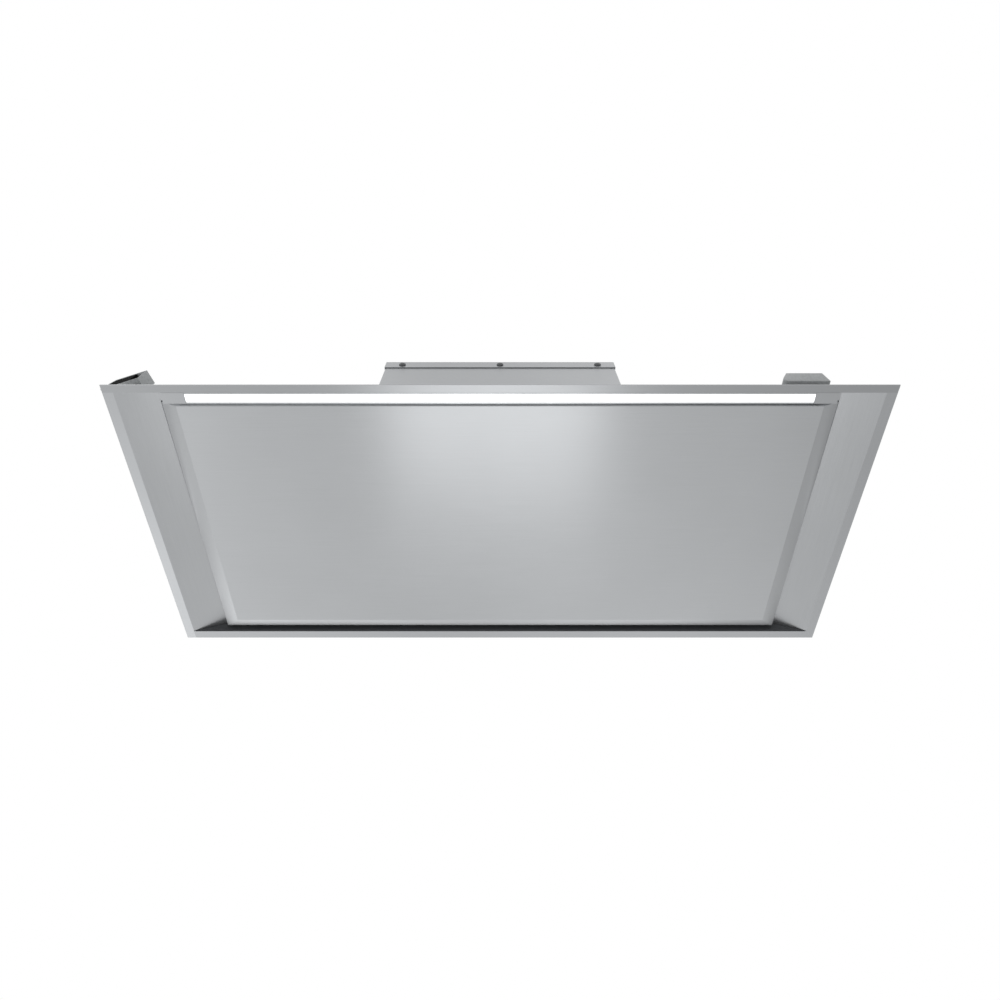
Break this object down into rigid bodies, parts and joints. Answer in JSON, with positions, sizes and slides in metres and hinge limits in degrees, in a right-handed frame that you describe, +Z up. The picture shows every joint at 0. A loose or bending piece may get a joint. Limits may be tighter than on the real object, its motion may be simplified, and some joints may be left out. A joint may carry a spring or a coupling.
{
  "type": "ceiling range hood",
  "caption": "Ceiling-mounted extractor hood with a hinged cover panel, LED strip, grease filters, blower, outlet flaps and swing-out clamp brackets.",
  "frame": {"origin": "middle of the trim frame, in the plane of its underside", "axes": "+X to the right along the long side, +Y away from the cook, +Z up into the ceiling"},
  "size_m": [0.9073, 0.38, 0.353],
  "materials": {
    "satin_steel": "fine brushed stainless steel, grain along the long side",
    "galvanised": "plain zinc-coated sheet",
    "dark_paint": "black powder coat",
    "aluminium": "natural anodised aluminium",
    "black_plastic": "matt black moulded plastic",
    "grey_plastic": "matt grey moulded plastic",
    "opal_cover": "frosted white light cover, lit",
    "circuit_board": "green solder-masked board",
    "zinc": "bright zinc-plated steel"
  },
  "bodies": {
    "housing": {"trim_frame": "satin_steel", "motor_tower": "satin_steel", "tower_cover": "satin_steel", "left_lamp_end": "satin_steel", "right_lamp_end": "satin_steel", "rear_hinge_rail": "dark_paint", "plenum_box": "galvanised", "outlet_collar": "black_plastic", "scroll_wall": "black_plastic", "left_scroll_plate": "black_plastic", "right_scroll_plate": "black_plastic", "cable_gland": "black_plastic", "control_box": "grey_plastic", "control_box_lid": "grey_plastic", "run_capacitor": "grey_plastic", "terminal_block": "grey_plastic", "lamp_driver": "grey_plastic", "fan_motor": "aluminium", "lamp_profile": "aluminium", "left_filter_frame": "aluminium", "right_filter_frame": "aluminium", "left_filter_mesh": "aluminium", "right_filter_mesh": "aluminium", "lamp_cover": "opal_cover", "lamp_board": "circuit_board", "control_board": "circuit_board", "flap_pin": "zinc", "motor_bracket": "zinc", "left_blower_strap": "zinc", "right_blower_strap": "zinc", "left_hinge_fork": "zinc", "right_hinge_fork": "zinc", "left_hinge_pin": "zinc", "right_hinge_pin": "zinc", "left_panel_catch": "zinc", "right_panel_catch": "zinc", "front_left_clamp_screw": "zinc", "front_right_clamp_screw": "zinc", "rear_left_clamp_screw": "zinc", "rear_right_clamp_screw": "zinc"},
    "cover": {"cover_panel": "satin_steel", "panel_backing": "galvanised", "left_panel_knuckle": "zinc", "right_panel_knuckle": "zinc", "left_panel_strike": "zinc", "right_panel_strike": "zinc"},
    "fan_rotor": {"impeller": "black_plastic", "motor_shaft": "zinc"},
    "outlet_flap_front": {"front_flap": "grey_plastic"},
    "outlet_flap_rear": {"rear_flap": "grey_plastic"},
    "left_latch": {"left_filter_latch": "black_plastic"},
    "right_latch": {"right_filter_latch": "black_plastic"},
    "front_left_nut": {"front_left_clamp_sleeve": "black_plastic"},
    "front_left_dog": {"front_left_clamp": "zinc"},
    "front_right_nut": {"front_right_clamp_sleeve": "black_plastic"},
    "front_right_dog": {"front_right_clamp": "zinc"},
    "rear_left_nut": {"rear_left_clamp_sleeve": "black_plastic"},
    "rear_left_dog": {"rear_left_clamp": "zinc"},
    "rear_right_nut": {"rear_right_clamp_sleeve": "black_plastic"},
    "rear_right_dog": {"rear_right_clamp": "zinc"}
  },
  "joints": [
    {"name": "cover_hinge", "type": "hinge", "parent": "housing", "child": "cover", "pos_m": [0, 0.163, 0.013], "axis": [1, 0, 0], "range_deg": [0, 90]},
    {"name": "fan_spin", "type": "hinge", "parent": "housing", "child": "fan_rotor", "pos_m": [0, 0.01, 0.165], "axis": [1, 0, 0], "continuous": true},
    {"name": "front_flap_hinge", "type": "hinge", "parent": "housing", "child": "outlet_flap_front", "pos_m": [0, 0.082, 0.325], "axis": [-1, 0, 0], "range_deg": [0, 80]},
    {"name": "rear_flap_hinge", "type": "hinge", "parent": "housing", "child": "outlet_flap_rear", "pos_m": [0, 0.082, 0.325], "axis": [1, 0, 0], "range_deg": [0, 80]},
    {"name": "left_latch_slide", "type": "slide", "parent": "housing", "child": "left_latch", "axis": [0, 1, 0], "range_m": [0, 0.005], "stiffness_N_per_m": 300, "springref_m": -0.003},
    {"name": "right_latch_slide", "type": "slide", "parent": "housing", "child": "right_latch", "axis": [0, 1, 0], "range_m": [0, 0.005], "stiffness_N_per_m": 300, "springref_m": -0.003},
    {"name": "front_left_lift", "type": "slide", "parent": "housing", "child": "front_left_nut", "axis": [0, 0, 1], "range_m": [-0.012, 0]},
    {"name": "front_left_swing", "type": "hinge", "parent": "front_left_nut", "child": "front_left_dog", "pos_m": [-0.418, -0.1755, 0.05], "axis": [0, 0, 1], "range_deg": [0, 197]},
    {"name": "front_right_lift", "type": "slide", "parent": "housing", "child": "front_right_nut", "axis": [0, 0, 1], "range_m": [-0.007, 0]},
    {"name": "front_right_swing", "type": "hinge", "parent": "front_right_nut", "child": "front_right_dog", "pos_m": [0.369, -0.1755, 0.05], "axis": [0, 0, 1], "range_deg": [0, 180]},
    {"name": "rear_left_lift", "type": "slide", "parent": "housing", "child": "rear_left_nut", "axis": [0, 0, 1], "range_m": [-0.008, 0]},
    {"name": "rear_left_swing", "type": "hinge", "parent": "rear_left_nut", "child": "rear_left_dog", "pos_m": [-0.404, 0.1705, 0.05], "axis": [0, 0, -1], "range_deg": [0, 180]},
    {"name": "rear_right_lift", "type": "slide", "parent": "housing", "child": "rear_right_nut", "axis": [0, 0, 1], "range_m": [-0.008, 0]},
    {"name": "rear_right_swing", "type": "hinge", "parent": "rear_right_nut", "child": "rear_right_dog", "pos_m": [0.404, 0.1705, 0.05], "axis": [0, 0, 1], "range_deg": [0, 180]}
  ]
}
